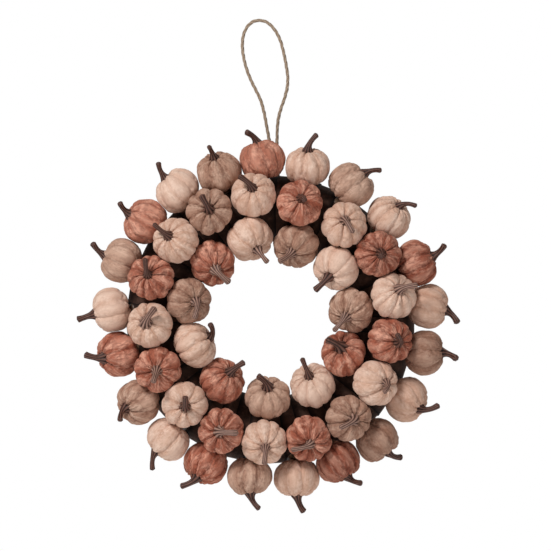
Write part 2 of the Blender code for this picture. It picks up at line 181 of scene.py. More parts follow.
# lobes from and to, groove and pleat depth, pleats, crumpling
MAKES = {
    "velvet_cream": (CREAM, (8, 11), 3.1 * MM, 0.8 * MM, 24, 0.28 * MM),
    "velvet_tan": (TAN, (7, 9), 3.6 * MM, 1.3 * MM, 26, 0.5 * MM),
    "velvet_terracotta": (TERRACOTTA, (8, 11), 3.3 * MM, 1.4 * MM, 28, 0.5 * MM),
}

# Pumpkins paler than the others of their velvet, and below 0 darker ones, partly their own tone and partly painted
# light on those that face the key light and painted shade on those turned from it: how much, and their numbers by
# row
TONES = (
    (0.3, {"outer": (3, 17, 18, 20), "inner": (3, 6, 7)}),
    (0.18, {"outer": (1, 19), "middle": (5,)}),
    (-0.15, {"outer": (5, 11), "middle": (1, 3, 4, 8, 17), "inner": (1, 2, 10)}),
    (-0.4, {"outer": (6, 7, 8, 9, 10)}),
)

# Stems of the lighter, taupe kind: the rest are dark brown
TAUPE_STEMS = {
    "middle": (3, 5, 7, 8, 9, 10, 11, 13, 14),
    "inner": (1, 2, 4, 10, 11),
    "outer": (),
}


# ---- Mesh helpers ----


def add_piece(name, points, faces, material, fields=None, smooth=True):
    """A mesh object from arrays. Fields are values of its points, which its material reads by name."""
    mesh = bpy.data.meshes.new(name)
    mesh.from_pydata(np.asarray(points).tolist(), [], faces)
    mesh.materials.append(material)
    for field, values in (fields or {}).items():
        values = np.asarray(values, np.float32)
        kind, store = ("FLOAT", "value") if values.ndim == 1 else ("FLOAT_VECTOR", "vector")
        mesh.attributes.new(field, kind, "POINT").data.foreach_set(store, values.ravel())
    if smooth:
        mesh.shade_smooth()
    mesh.update()
    piece = bpy.data.objects.new(name, mesh)
    bpy.context.scene.collection.objects.link(piece)
    return piece


def grid_faces(rows, columns, first=0, caps=True):
    """Faces of a tube of rows of points, and a fan at each end on two last points."""
    faces = []
    for row in range(rows - 1):
        low = first + row * columns
        for i in range(columns):
            j = (i + 1) % columns
            faces.append((low + i, low + j, low + columns + j, low + columns + i))
    if caps:
        start = first + rows * columns
        last = first + (rows - 1) * columns
        for i in range(columns):
            j = (i + 1) % columns
            faces.append((start, first + j, first + i))
            faces.append((start + 1, last + i, last + j))
    return faces


def along_path(path):
    """Tangents and two sideways directions at each of a path's points, turning as little as they can."""
    tangents = np.gradient(path, axis=0)
    tangents /= np.linalg.norm(tangents, axis=1)[:, None]
    side = np.cross(tangents[0], (0.13, 0.97, 0.21))
    sides = []
    for tangent in tangents:
        side = side - tangent * side.dot(tangent)
        side /= np.linalg.norm(side)
        sides.append(side)
    sides = np.array(sides)
    return tangents, sides, np.cross(tangents, sides)


def tube_points(path, radii):
    """Points of a tube round a path, then its two end points. The radii are an array of (points, sides)."""
    radii = np.asarray(radii)
    turn = np.linspace(0, tau, radii.shape[1], endpoint=False)
    _, sides, ups = along_path(path)
    rings = path[:, None] + radii[..., None] * (
        np.cos(turn)[None, :, None] * sides[:, None] + np.sin(turn)[None, :, None] * ups[:, None]
    )
    return np.concatenate([rings.reshape(-1, 3), path[:1], path[-1:]])


def smooth_route(route, step):
    """Points about a step apart on the smooth curve through the route's points."""
    route = [np.array(point, float) for point in route]
    ends = [route[0] * 2 - route[1], *route, route[-1] * 2 - route[-2]]
    points = []
    for i in range(1, len(ends) - 2):
        before, start, end, after = ends[i - 1 : i + 3]
        pieces = ceil(np.linalg.norm(end - start) / step)
        for k in range(pieces):
            t = k / pieces
            bent = (end - before) * t
            bent = bent + (before * 2 - start * 5 + end * 4 - after) * t**2
            bent = bent + (start * 3 - before - end * 3 + after) * t**3
            points.append(start + bent / 2)
    return np.array([*points, route[-1]])


# ---- Materials ----


class Nodes:
    """A material's node tree, built a node at a time."""

    def __init__(self, name):
        self.material = bpy.data.materials.new(name)
        self.material.use_nodes = True
        self.tree = self.material.node_tree
        self.shader = self.tree.nodes["Principled BSDF"]

    def add(self, kind, inputs=None, **settings):
        node = self.tree.nodes.new(kind)
        for name, value in settings.items():
            setattr(node, name, value)
        for name, value in (inputs or {}).items():
            self.put(node.inputs[name], value)
        return node

    def put(self, socket, value):
        if isinstance(value, bpy.types.NodeSocket):
            self.tree.links.new(value, socket)
        elif socket.type == "RGBA":
            socket.default_value = (*value, 1)
        else:
            socket.default_value = value

    def place(self):
        return self.add("ShaderNodeTexCoord").outputs["Object"]

    def field(self, name):
        return self.add("ShaderNodeAttribute", attribute_name=name).outputs["Fac"]

    def noise(self, scale, detail=3, roughness=0.55, vector=None, distortion=0):
        inputs = {"Scale": scale, "Detail": detail, "Roughness": roughness, "Distortion": distortion}
        inputs["Vector"] = vector or self.place()
        return self.add("ShaderNodeTexNoise", inputs).outputs["Fac"]

    def ramp(self, value, low, high):
        """The value stretched from low..high to 0..1."""
        inputs = {"Value": value, "From Min": low, "From Max": high}
        return self.add("ShaderNodeMapRange", inputs, clamp=True).outputs["Result"]

    def scaled(self, value, factor):
        inputs = {0: value, 1: factor}
        return self.add("ShaderNodeMath", inputs, operation="MULTIPLY").outputs[0]

    def mix(self, factor, first, second):
        node = self.add("ShaderNodeMix", data_type="RGBA")
        factor_in, first_in, second_in = (node.inputs[i] for i in (0, 6, 7))
        self.put(factor_in, factor)
        self.put(first_in, first)
        self.put(second_in, second)
        return node.outputs[2]

    def bump(self, height, strength, distance, normal=None):
        inputs = {"Height": height, "Strength": strength, "Distance": distance}
        if normal:
            inputs["Normal"] = normal
        return self.add("ShaderNodeBump", inputs).outputs["Normal"]

    def finish(self, **values):
        for name, value in values.items():
            self.put(self.shader.inputs[name.replace("_", " ").title().replace("Ior", "IOR")], value)
        return self.material


def velvet_material(name, colours):
    """Short-pile velvet: brushed paler and darker in patches, with a painted highlight on its crests, painted
    shade in its folds, and some pumpkins made paler and some darker, partly their own tone and partly painted
    light and shade.
    """
    base, pale, deep = colours
    nodes = Nodes(name)
    streak = nodes.add("ShaderNodeAttribute", attribute_name="streak").outputs["Vector"]
    brushed = nodes.ramp(nodes.noise(2.6, 4, 0.62, streak, 0.8), 0.45, 0.62)
    rubbed = nodes.ramp(nodes.noise(120, 4, 0.65, distortion=1.2), 0.48, 0.66)
    lines = nodes.ramp(nodes.noise(11, 3, 0.6, streak), 0.47, 0.66)
    colour = nodes.mix(nodes.scaled(brushed, 0.85), base, pale)
    colour = nodes.mix(nodes.scaled(rubbed, 0.55), colour, deep)
    colour = nodes.mix(nodes.scaled(lines, 0.6), colour, deep)
    # painted highlight on the crests of the lobes
    colour = nodes.mix(nodes.scaled(nodes.field("crest_highlight"), 0.6), colour, pale)
    # painted shade in the folds
    colour = nodes.mix(nodes.scaled(nodes.field("fold_shade"), 0.7), colour, deep)
    # each pumpkin's paler tone, partly painted light, and below its darker tone, partly painted shade
    colour = nodes.mix(nodes.field("tone_and_light"), colour, pale)
    colour = nodes.mix(nodes.field("dark"), colour, deep)
    pile = nodes.noise(2600, 2, 0.7)
    crush = nodes.noise(330, 3, 0.6)
    normal = nodes.bump(crush, 0.3, 0.5 * MM)
    normal = nodes.bump(pile, 0.35, 0.12 * MM, normal)
    return nodes.finish(
        base_color=colour,
        roughness=0.88,
        specular_ior_level=0.22,
        sheen_weight=0.35,
        sheen_roughness=0.4,
        sheen_tint=pale,
        normal=normal,
    )


def stem_material(name, valley, crest_highlight):
    """Painted resin cast from a real stem, with a fine grain: painted shade darkens it between its ridges and a
    painted highlight lightens the ridges.
    """
    nodes = Nodes(name)
    grain = nodes.noise(900, 3, 0.65)
    tone_and_light = nodes.ramp(nodes.noise(260, 2), 0.45, 0.7)
    # painted shade in the valleys, painted highlight on the ridges
    colour = nodes.mix(nodes.field("crest_highlight"), valley, crest_highlight)
    colour = nodes.mix(nodes.scaled(tone_and_light, 0.35), colour, valley)
    return nodes.finish(
        base_color=colour,
        roughness=0.5,
        specular_ior_level=0.28,
        normal=nodes.bump(grain, 0.5, 0.25 * MM),
    )


def ribbon_material():
    """Dark grosgrain, ribbed across its length."""
    nodes = Nodes("ribbon")
    inputs = {"X": nodes.field("along"), "Y": nodes.scaled(nodes.field("across"), 0.05)}
    place = nodes.add("ShaderNodeCombineXYZ", inputs).outputs[0]
    inputs = {"Vector": place, "Scale": 230, "Distortion": 0.4, "Detail": 1}
    ribs = nodes.add("ShaderNodeTexWave", inputs).outputs["Fac"]
    dust = nodes.ramp(nodes.noise(140, 4, 0.6), 0.45, 0.75)
    colour = nodes.mix(nodes.scaled(dust, 0.6), (0.050, 0.027, 0.020), (0.17, 0.085, 0.060))
    # painted shade along one edge of each turn, where the turns lap
    colour = nodes.mix(nodes.ramp(nodes.field("across"), 10 * MM, 16 * MM), colour, (0.013, 0.008, 0.007))
    return nodes.finish(
        base_color=colour,
        roughness=0.88,
        specular_ior_level=0.1,
        sheen_weight=0.06,
        sheen_roughness=0.5,
        normal=nodes.bump(ribs, 0.5, 0.25 * MM),
    )


def twine_material():
    """Jute: a matt straw brown, streaked along its fibres."""
    nodes = Nodes("twine")
    inputs = {"X": nodes.scaled(nodes.field("along"), 0.25), "Y": nodes.field("round")}
    place = nodes.add("ShaderNodeCombineXYZ", inputs).outputs[0]
    fibres = nodes.ramp(nodes.noise(900, 4, 0.7, place), 0.3, 0.7)
    patches = nodes.ramp(nodes.noise(150, 3), 0.4, 0.7)
    colour = nodes.mix(fibres, (0.25, 0.165, 0.11), (0.58, 0.45, 0.33))
    colour = nodes.mix(nodes.scaled(patches, 0.3), colour, (0.40, 0.31, 0.23))
    # painted shade between the strands and in their ply grooves
    colour = nodes.mix(nodes.scaled(nodes.field("fold_shade"), 0.7), colour, (0.07, 0.04, 0.022))
    return nodes.finish(
        base_color=colour,
        roughness=0.92,
        specular_ior_level=0.2,
        sheen_weight=0.25,
        sheen_roughness=0.5,
        normal=nodes.bump(fibres, 0.6, 0.2 * MM),
    )


def glue_material():
    """Hot-melt glue: amber, waxy and a little translucent."""
    nodes = Nodes("glue")
    cloud = nodes.ramp(nodes.noise(220, 3), 0.35, 0.7)
    return nodes.finish(
        base_color=nodes.mix(cloud, (0.10, 0.052, 0.028), (0.24, 0.145, 0.085)),
        roughness=0.4,
        coat_weight=0.15,
        coat_roughness=0.3,
        normal=nodes.bump(nodes.noise(500, 2), 0.25, 0.2 * MM),
    )


def foam_material():
    """Expanded polystyrene: white beads pressed together."""
    nodes = Nodes("foam")
    inputs = {"Vector": nodes.place(), "Scale": 320}
    beads = nodes.add("ShaderNodeTexVoronoi", inputs).outputs["Distance"]
    return nodes.finish(
        base_color=nodes.mix(nodes.ramp(beads, 0.2, 0.8), (0.78, 0.77, 0.74), (0.62, 0.61, 0.58)),
        roughness=0.7,
        normal=nodes.bump(beads, 0.5, 0.6 * MM),
    )


def steel_material():
    """Drawn wire with fine scratches."""
    nodes = Nodes("pin_steel")
    marks = nodes.noise(1200, 3, 0.6)
    return nodes.finish(
        base_color=nodes.mix(nodes.ramp(marks, 0.4, 0.7), (0.58, 0.58, 0.59), (0.42, 0.41, 0.40)),
        metallic=1.0,
        roughness=0.34,
        normal=nodes.bump(marks, 0.15, 0.1 * MM),
    )


# ---- What the CAD nodes say ----


def cad_mesh(node):
    """A CAD node's points, each of them once, and its triangles."""
    mesh = frame["nodes"][node].data
    mesh.calc_loop_triangles()
    points = np.empty(len(mesh.vertices) * 3)
    mesh.vertices.foreach_get("co", points)
    corners = np.empty(len(mesh.loop_triangles) * 3, np.int32)
    mesh.loop_triangles.foreach_get("vertices", corners)
    points, index = np.unique(points.reshape(-1, 3).round(6), axis=0, return_inverse=True)
    return points, index.reshape(-1)[corners].reshape(-1, 3)


def unit(vector):
    return vector / np.linalg.norm(vector)


class Pumpkin:
    """Where a CAD pumpkin is: its body's centre, axis and width, and its stem's foot, tip and radius."""

    def __init__(self, node, velvet):
        self.node = node
        self.velvet = velvet
        self.row, _, number = node.rsplit("_", 2)
        self.number = int(number)
        points, triangles = cad_mesh(node)
        corners = points[triangles]
        areas = np.linalg.norm(np.cross(corners[:, 1] - corners[:, 0], corners[:, 2] - corners[:, 0]), axis=1)
        middle = np.average(corners.mean(axis=1), axis=0, weights=areas)
        end = points[np.linalg.norm(points - middle, axis=1).argmax()]
        # The back pole is where the most edges meet, away from the stem.
        edges = np.sort(np.concatenate([triangles[:, [0, 1]], triangles[:, [1, 2]], triangles[:, [2, 0]]]))
        edges = np.unique(edges, axis=0)
        meeting = np.bincount(edges.ravel(), minlength=len(points))
        meeting[np.linalg.norm(points - end, axis=1) < 30 * MM] = 0
        pole_index = meeting.argmax()
        pole = points[pole_index]
        round_pole = edges[(edges == pole_index).any(axis=1)].ravel()
        ring = points[round_pole[round_pole != pole_index]]
        self.axis = np.linalg.svd(ring - ring.mean(axis=0))[2][2]
        if self.axis.dot(end - pole) < 0:
            self.axis = -self.axis
        rise = (points - pole) @ self.axis
        body = rise < STEM_CLEAR
        out = np.linalg.norm(points - pole - rise[:, None] * self.axis, axis=1)
        equator = body & (out > out[body].max() * 0.995)
        self.width = 2 * out[equator].mean()
        half = rise[equator].mean()
        self.centre = pole + self.axis * half
        self.foot = self.centre + self.axis * half
        end_ring = points[np.linalg.norm(points - end, axis=1) < 5.6 * MM]
        self.tip = end_ring.mean(axis=0)
        self.stem_radius = np.linalg.norm(end_ring - self.tip, axis=1).max()

    def seed(self):
        return {"outer": 100, "middle": 200, "inner": 300}[self.row] + self.number

    def turn(self, spin):
        """Rotation from the pumpkin's own axes, with z along its axis, to the frame's."""
        upright = Vector(self.axis).to_track_quat("Z", "Y").to_matrix()
        return np.array(upright @ Matrix.Rotation(spin, 3, "Z"))


class Ring:
    """The ribbon-covered ring's section, from its CAD node."""

    def __init__(self):
        low, high = (np.array(corner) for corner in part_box("ribbon_wrap"))
        self.centre = (low + high) / 2
        self.centre[1] = 0
        points, _ = cad_mesh("ribbon_wrap")
        out = np.hypot(points[:, 0] - self.centre[0], points[:, 2] - self.centre[2])
        self.radius = (out.max() + out.min()) / 2
        self.cover = (out.max() - out.min()) / 2
        self.depth = -points[:, 1].min() - self.cover

    def radial(self, clock):
        return np.stack([np.sin(clock), np.zeros_like(clock), np.cos(clock)], axis=-1)

    def section(self, clock):
        """The middle of the ring's section at that clock angle."""
        return self.centre + self.radial(clock) * self.radius + np.array([0, -self.depth, 0])


# ---- Pumpkins ----


def uneven_stops(rng, count, unevenness):
    """Angles that split a full turn into about equal parts, from 0 to a full turn."""
    steps = 1 + unevenness * rng.uniform(-1, 1, count)
    stops = np.concatenate([[0], np.cumsum(steps)]) / steps.sum() * tau
    return stops


def parts_of_turn(turn, stops):
    """For each angle, which part it falls in and how far across, from 0 to 1."""
    turn = turn % tau
    part = np.clip(np.searchsorted(stops, turn, side="right") - 1, 0, len(stops) - 2)
    return part, (turn - stops[part]) / (stops[part + 1] - stops[part])


def pleats(rng, turn, down, count, reach):
    """Gathers from the pole, each with its own length and depth: their height, and how closed they are."""
    stops = uneven_stops(rng, count, PLEAT_UNEVENNESS)
    part, across = parts_of_turn(turn + 0.05 * np.sin(5 * down + rng.uniform(0, tau)), stops)
    lengths = reach * rng.uniform(0.35, 1.25, count)
    depths = rng.uniform(0.25, 1.0, count)
    fade = np.exp(-((np.maximum(down - 0.34, 0) / lengths[part]) ** 2)) * np.clip(down / 0.3, 0, 1)
    ridge = np.sin(pi * across) ** 0.8
    return depths[part] * fade * ridge, fade * (1 - ridge) ** 2 * depths[part]


def waves(rng, points, longest, shortest, count):
    """A smooth random height over the points, about -1 to 1."""
    total = np.zeros(points.shape[:-1])
    for _ in range(count):
        direction = unit(rng.normal(size=3))
        length = rng.uniform(shortest, longest)
        total += np.sin(points @ direction * tau / length + rng.uniform(0, tau))
    return total / sqrt(count)


def lobe_columns(rng, lobes, down):
    """Angles of the body's columns in each ring, which lobe each is in, and how far across it, from 0 to 1.
    A column lies in every groove, and both wander a little from pole to pole."""
    per_lobe = 2 * round(BODY_SIDES / lobes / 2)
    even = np.arange(per_lobe) / per_lobe
    across = np.tile(even - COLUMN_CROWDING * np.sin(tau * even) / tau, lobes)
    lobe = np.repeat(np.arange(lobes), per_lobe)
    stops = uneven_stops(rng, lobes, LOBE_UNEVENNESS)
    phase = rng.uniform(0, tau, (2, lobes))
    wander = 0.045 * np.sin(2 * down + phase[0]) + 0.02 * np.sin(5 * down + phase[1])
    wander = np.concatenate([wander, wander[:, :1]], axis=1)
    turn = stops[lobe] + (stops[lobe + 1] - stops[lobe]) * across
    return turn + wander[:, lobe] * (1 - across) + wander[:, lobe + 1] * across, lobe, across


def velvet_body(pumpkin, rng):
    """Points and fields of a gathered velvet body on its own axis, z, and its number of lobes."""
    _, lobe_range, groove, pleat_depth, pleat_count, crumple = MAKES[pumpkin.velvet]
    share = np.linspace(0, 1, BODY_RINGS + 2)[1:-1, None]
    down = pi * (share - RING_CROWDING * np.sin(tau * share))
    lobes = int(rng.integers(lobe_range[0], lobe_range[1] + 1))
    turn, lobe, across = lobe_columns(rng, lobes, down)
    down, across = np.broadcast_arrays(down, across[None])
    half = pumpkin.width / 2 * BODY_SWELL
    tall = half * BODY_HEIGHT * rng.uniform(0.96, 1.02)
    out = half * np.sin(down) ** BODY_ROUNDNESS
    height = tall * np.abs(np.cos(down)) ** BODY_ROUNDNESS * np.sign(np.cos(down))
    normal_out, normal_up = out / half**2, height / tall**2
    length = np.hypot(normal_out, normal_up)
    normal_out, normal_up = normal_out / length, normal_up / length

    side = np.abs(2 * across - 1)
    bulge = 1 - side ** rng.uniform(1.9, 2.5, lobes)[lobe]
    fullness = rng.uniform(0.75, 1.0, lobes)[lobe]
    depths = rng.uniform(0.5, 1.0, lobes + 1)
    depths[-1] = depths[0]
    groove = groove * (depths[lobe] * (1 - across) + depths[lobe + 1] * across)
    depth = groove * (0.78 + 0.22 * np.cos(down) ** 2) * np.clip(out / (8 * MM), 0, 1)
    push = -depth * (1 - fullness * bulge)

    top, top_fold = pleats(rng, turn, down, pleat_count, TOP_PLEATS)
    low, low_fold = pleats(rng, turn, pi - down, pleat_count, LOW_PLEATS)
    long, long_fold = pleats(rng, turn, down, 2 * lobes + 1, LONG_PLEATS)
    push = push + pleat_depth * (top + low) + LONG_PLEAT_SHARE * pleat_depth * long
    place = np.stack([out * np.cos(turn), out * np.sin(turn), height], axis=-1)
    streak = np.stack([out * np.cos(turn) * 2.2, out * np.sin(turn) * 2.2, height * 0.8], axis=-1)
    push += crumple * waves(rng, place, *CRUMPLES)
    push += FINE_CRUMPLE_SHARE * crumple * waves(rng, streak, *FINE_CRUMPLES)

    out = np.maximum(out + push * normal_out, 0.1 * MM)
    height = height + push * normal_up
    sink = np.exp(-((out / DIMPLE_RADIUS) ** 2))
    height = height - DIMPLE_DEPTH * sink * np.sign(np.cos(down)) * np.where(down < pi / 2, 1, 0.7)
    place = np.stack([out * np.cos(turn), out * np.sin(turn), height], axis=-1)
    place[..., :2] += rng.uniform(-0.05, 0.05, 2) * place[..., 2:]
    place[..., :2] *= 1 + rng.uniform(-0.02, 0.02, 2)
    # painted shade: in the grooves, in the closed parts of the pleats, and fully at the poles round the stem
    fold_shade = 0.75 * side**6 * depth / groove.max() + 0.7 * top_fold + 0.6 * low_fold + 0.3 * long_fold
    # painted highlight: strongest in the middle of each lobe and round its equator, more on some lobes than others
    crest_highlight = np.clip(1 - 1.6 * side, 0, 1) * np.sin(down) ** 2 * rng.uniform(0.2, 1.0, lobes)[lobe]
    streak = np.stack([np.cos(turn), np.sin(turn), 0.4 * down + rng.uniform(0, 50)], axis=-1)
    poles = [np.array([field[0].mean(axis=0), field[-1].mean(axis=0)]) for field in (place, streak)]
    points = np.concatenate([place.reshape(-1, 3), poles[0]])
    streak = np.concatenate([streak.reshape(-1, 3), poles[1]])
    tone = sum(tone for tone, rows in TONES if pumpkin.number in rows.get(pumpkin.row, ()))
    tone += rng.uniform(-0.05, 0.05)
    fields = {
        # painted shade, full at the two poles
        "fold_shade": np.clip(np.append(fold_shade.ravel(), (1, 1)), 0, 1),
        "crest_highlight": np.append(crest_highlight.ravel(), (0, 0)),
        "streak": streak,
        # how much paler, partly painted light, and how much darker, partly painted shade
        "tone_and_light": np.full(len(points), max(tone, 0)),
        "dark": np.full(len(points), max(-tone, 0)),
    }
    return points, fields, lobes


def finer(field):
    """A field over a body's rings and columns, with a row and a column put between each two."""
    after = np.roll(field, -1, axis=1)
    between = (9 * (field + after) - np.roll(field, 1, axis=1) - np.roll(after, -1, axis=1)) / 16
    wide = np.stack([field, between], axis=2).reshape(len(field), -1, 3)
    ends = np.concatenate([wide[:1], wide, wide[-1:]])
    tall = np.empty((2 * len(wide) - 1, *wide.shape[1:]))
    tall[::2] = wide
    tall[1::2] = (9 * (ends[1:-2] + ends[2:-1]) - ends[:-3] - ends[3:]) / 16
    return tall


def stuff(shapes, lobes, pumpkins):
    """Cloth simulation: each velvet has a little more fabric than its shape needs, is held by the thread in
    its grooves and at its two ends, and is blown up by its stuffing. All are simulated as one mesh, which has
    every second row and column of theirs."""
    points, faces, pins, spare, grids = [], [], [], [], []
    for shape, lobe_count, pumpkin in zip(shapes, lobes, pumpkins):
        grid = shape[:-2].reshape(BODY_RINGS, -1, 3)[::2, ::2]
        grids.append(grid)
        held = np.clip((HELD_RADIUS - np.hypot(grid[..., 0], grid[..., 1])) / (HELD_RADIUS / 3), 0, 1)
        held[:, :: grid.shape[1] // lobe_count] = 1
        faces += grid_faces(grid.shape[0], grid.shape[1], sum(map(len, points)))
        points.append(np.concatenate([grid.reshape(-1, 3), shape[-2:]]))
        pins.append(np.append(held.ravel(), (1, 1)))
        spare.append(np.full(len(points[-1]), float(pumpkin.velvet != "velvet_cream")))
    start = np.concatenate(points) * CLOTH_SCALE
    mesh = bpy.data.meshes.new("cloth")
    mesh.from_pydata(start.tolist(), [], [face[::-1] for face in faces])
    cloth = bpy.data.objects.new("cloth", mesh)
    bpy.context.scene.collection.objects.link(cloth)
    for name, weights in (("held", np.concatenate(pins)), ("spare", np.concatenate(spare))):
        group = cloth.vertex_groups.new(name=name)
        steps = np.ceil(weights * 5).astype(int)
        for step in range(1, 6):
            group.add(np.flatnonzero(steps == step).tolist(), step / 5, "REPLACE")
    modifier = cloth.modifiers.new("cloth", "CLOTH")
    settings = modifier.settings
    settings.quality = CLOTH_QUALITY
    settings.vertex_group_mass = "held"
    settings.vertex_group_shrink = "spare"
    settings.shrink_min, settings.shrink_max = SPARE_CLOTH
    settings.use_pressure = True
    settings.uniform_pressure_force = CLOTH_PRESSURE
    settings.effector_weights.gravity = 0
    settings.air_damping = CLOTH_DAMPING
    modifier.collision_settings.use_collision = False
    for step in range(1, CLOTH_FRAMES + 1):
        bpy.context.scene.frame_set(step)
    result = cloth.evaluated_get(bpy.context.evaluated_depsgraph_get()).data
    end = np.empty(start.size)
    result.vertices.foreach_get("co", end)
    moves = (end.reshape(-1, 3) - start) / CLOTH_SCALE
    moves *= np.minimum(1, MOST_MOVE / np.maximum(np.linalg.norm(moves, axis=1), 1e-9))[:, None]
    bpy.data.objects.remove(cloth)
    bpy.data.meshes.remove(mesh)
    bpy.context.scene.frame_set(1)
    first = 0
    for shape, grid in zip(shapes, grids):
        move = moves[first : first + grid.size // 3].reshape(grid.shape)
        shape[:-2] += finer(move).reshape(-1, 3)
        first += grid.size // 3 + 2


def press(shapes, pumpkins, ring):
    """Flattens bodies where they press on each other or on the ribbon."""
    for first, one in enumerate(pumpkins):
        for second in range(first + 1, len(pumpkins)):
            between = pumpkins[second].centre - one.centre
            distance = np.linalg.norm(between)
            if distance > 1.2 * one.width:
                continue
            between /= distance
            reach = ((shapes[first] - one.centre) @ between).max()
            other = (-(shapes[second] - pumpkins[second].centre) @ between).max()
            if reach + other < distance - 4 * PRESS_SOFTNESS:
                continue
            plane = distance * reach / (reach + other)
            for shape, way, place in ((first, 1, plane), (second, -1, plane - distance)):
                centre = one.centre if way == 1 else pumpkins[second].centre
                past = way * ((shapes[shape] - centre) @ between - place) + CLEARANCE
                kept = -PRESS_SOFTNESS * np.logaddexp(0, -past / PRESS_SOFTNESS)
                shapes[shape] += (way * (kept - past))[:, None] * between
    for points in shapes:
        offset = points - ring.centre
        middle = ring.section(np.arctan2(offset[:, 0], offset[:, 2]))
        away = points - middle
        distance = np.linalg.norm(away, axis=1)
        near = distance < ring.cover + RING_CLEARANCE
        points[near] = middle[near] + away[near] * ((ring.cover + RING_CLEARANCE) / distance[near])[:, None]


def make_bodies(pumpkins, ring, materials):
    shapes, fields, lobes, turns = [], [], [], []
    for pumpkin in pumpkins:
        rng = np.random.default_rng(pumpkin.seed())
        points, field, lobe_count = velvet_body(pumpkin, rng)
        shapes.append(points)
        fields.append(field)
        lobes.append(lobe_count)
        turns.append(pumpkin.turn(rng.uniform(0, tau)))
    stuff(shapes, lobes, pumpkins)
    shapes = [points @ turn.T + pumpkin.centre for points, turn, pumpkin in zip(shapes, turns, pumpkins)]
    press(shapes, pumpkins, ring)
    for pumpkin, points, field in zip(pumpkins, shapes, fields):
        faces = [face[::-1] for face in grid_faces(BODY_RINGS, (len(points) - 2) // BODY_RINGS)]
        name = f"{pumpkin.row}_velvet_{pumpkin.number:02d}"
        body = add_piece(name, points, faces, materials[pumpkin.velvet], field)
        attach(body, "wreath")
        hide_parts(pumpkin.node)


def make_stem(pumpkin, materials):
    """A bent, ridged stem with a flared, fluted foot and a blunt tip."""
    rng = np.random.default_rng(pumpkin.seed() + 1000)
    reach = np.linalg.norm(pumpkin.tip - pumpkin.foot)
    bend = pumpkin.foot + pumpkin.axis * reach / 2
    t = np.linspace(0, 1, STEM_RINGS)
    bent = np.clip((t * (reach + STEM_ROOT) - STEM_ROOT) / reach, -0.3, 1)[:, None]
    path = pumpkin.foot * (1 - bent) ** 2 + bend * 2 * bent * (1 - bent) + pumpkin.tip * bent**2
    root = pumpkin.foot + pumpkin.axis * bent * reach
    path = np.where(bent < 0, root, path)
    thick = pumpkin.stem_radius * rng.uniform(*STEM_THICKNESS)
    flare = np.exp(-((np.maximum(bent[:, 0] - STEM_FLARE, 0) / 0.2) ** 1.3))
    foot = STEM_FOOT * rng.uniform(0.75, 1.2) * flare
    taper = rng.uniform(*STEM_TAPER)
    swell = 0.14 * np.exp(-(((bent[:, 0] - 0.97) / 0.16) ** 2))
    waist = -0.12 * np.exp(-(((bent[:, 0] - 0.45) / 0.3) ** 2))
    end = np.sqrt(np.clip((1 - t) / 0.045, 0, 1).clip(0.02, 1))
    size = thick * (1 + foot + swell + waist + taper * (0.5 - t)) * end
    ridges = int(rng.integers(STEM_RIDGES[0], STEM_RIDGES[1] + 1))
    turn = np.linspace(0, tau, STEM_SIDES, endpoint=False)[None, :]
    twist = rng.uniform(-STEM_TWIST, STEM_TWIST) * t[:, None]
    flute = np.abs(np.cos(ridges / 2 * (turn + twist) + rng.uniform(0, tau))) ** 0.75
    depth = RIDGE_DEPTH + FOOT_RIDGES * foot[:, None] / STEM_FOOT
    knobs = 0.03 * np.sin(3 * turn + 9 * t[:, None] + rng.uniform(0, tau))
    radii = size[:, None] * (1 - depth * (1 - flute) + knobs)
    points = tube_points(path, radii)
    # painted highlight on the ridges and painted shade in the valleys between them
    crest_highlight = np.append(np.clip(flute, 0, 1).ravel() ** 3, (0.5, 0.5))
    kind = "stem_taupe" if pumpkin.number in TAUPE_STEMS[pumpkin.row] else "stem_dark"
    name = f"{pumpkin.row}_stem_{pumpkin.number:02d}"
    stem = add_piece(name, points, grid_faces(STEM_RINGS, STEM_SIDES), materials[kind], {"crest_highlight": crest_highlight})
    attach(stem, "wreath")


def make_glue(row, pumpkins, ring, materials):
    """A squeezed-out dab under each of a row's pumpkins, as one piece."""
    turn = np.linspace(0, tau, DAB_SIDES, endpoint=False)
    points, faces = [], []
    for pumpkin in pumpkins:
        rng = np.random.default_rng(pumpkin.seed() + 2000)
        offset = pumpkin.centre - ring.centre
        middle = ring.section(np.arctan2(offset[0], offset[2]))
        normal = unit(pumpkin.centre - middle)
        across = unit(np.cross(normal, (0.2, 0.9, 0.4)))
        up = np.cross(normal, across)
        edge = 1 + 0.16 * np.sin(3 * turn + rng.uniform(0, tau))
        edge = DAB_RADIUS * (edge + 0.09 * np.sin(5 * turn + rng.uniform(0, tau)))
        first = len(points)
        for i in range(DAB_RINGS):
            climb = i / (DAB_RINGS - 1) * pi / 2
            share = cos(climb)
            height = -DAB_SINK + (DAB_HEIGHT + DAB_SINK) * sin(climb)
            for j in range(DAB_SIDES):
                flat = edge[j] * max(share, 0.02)
                spot = across * cos(turn[j]) * flat + up * sin(turn[j]) * flat
                drop = flat**2 / (2 * ring.cover)
                points.append(middle + normal * (ring.cover + height - drop) + spot)
        points += [middle + normal * (ring.cover - DAB_ROOT), middle + normal * (ring.cover + DAB_HEIGHT)]
        faces += grid_faces(DAB_RINGS, DAB_SIDES, first)
    glue = add_piece(f"{row}_glue", points, faces, materials["glue"])
    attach(glue, "wreath")
    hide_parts(f"{row}_glue_bead")


# ---- Ribbon ----


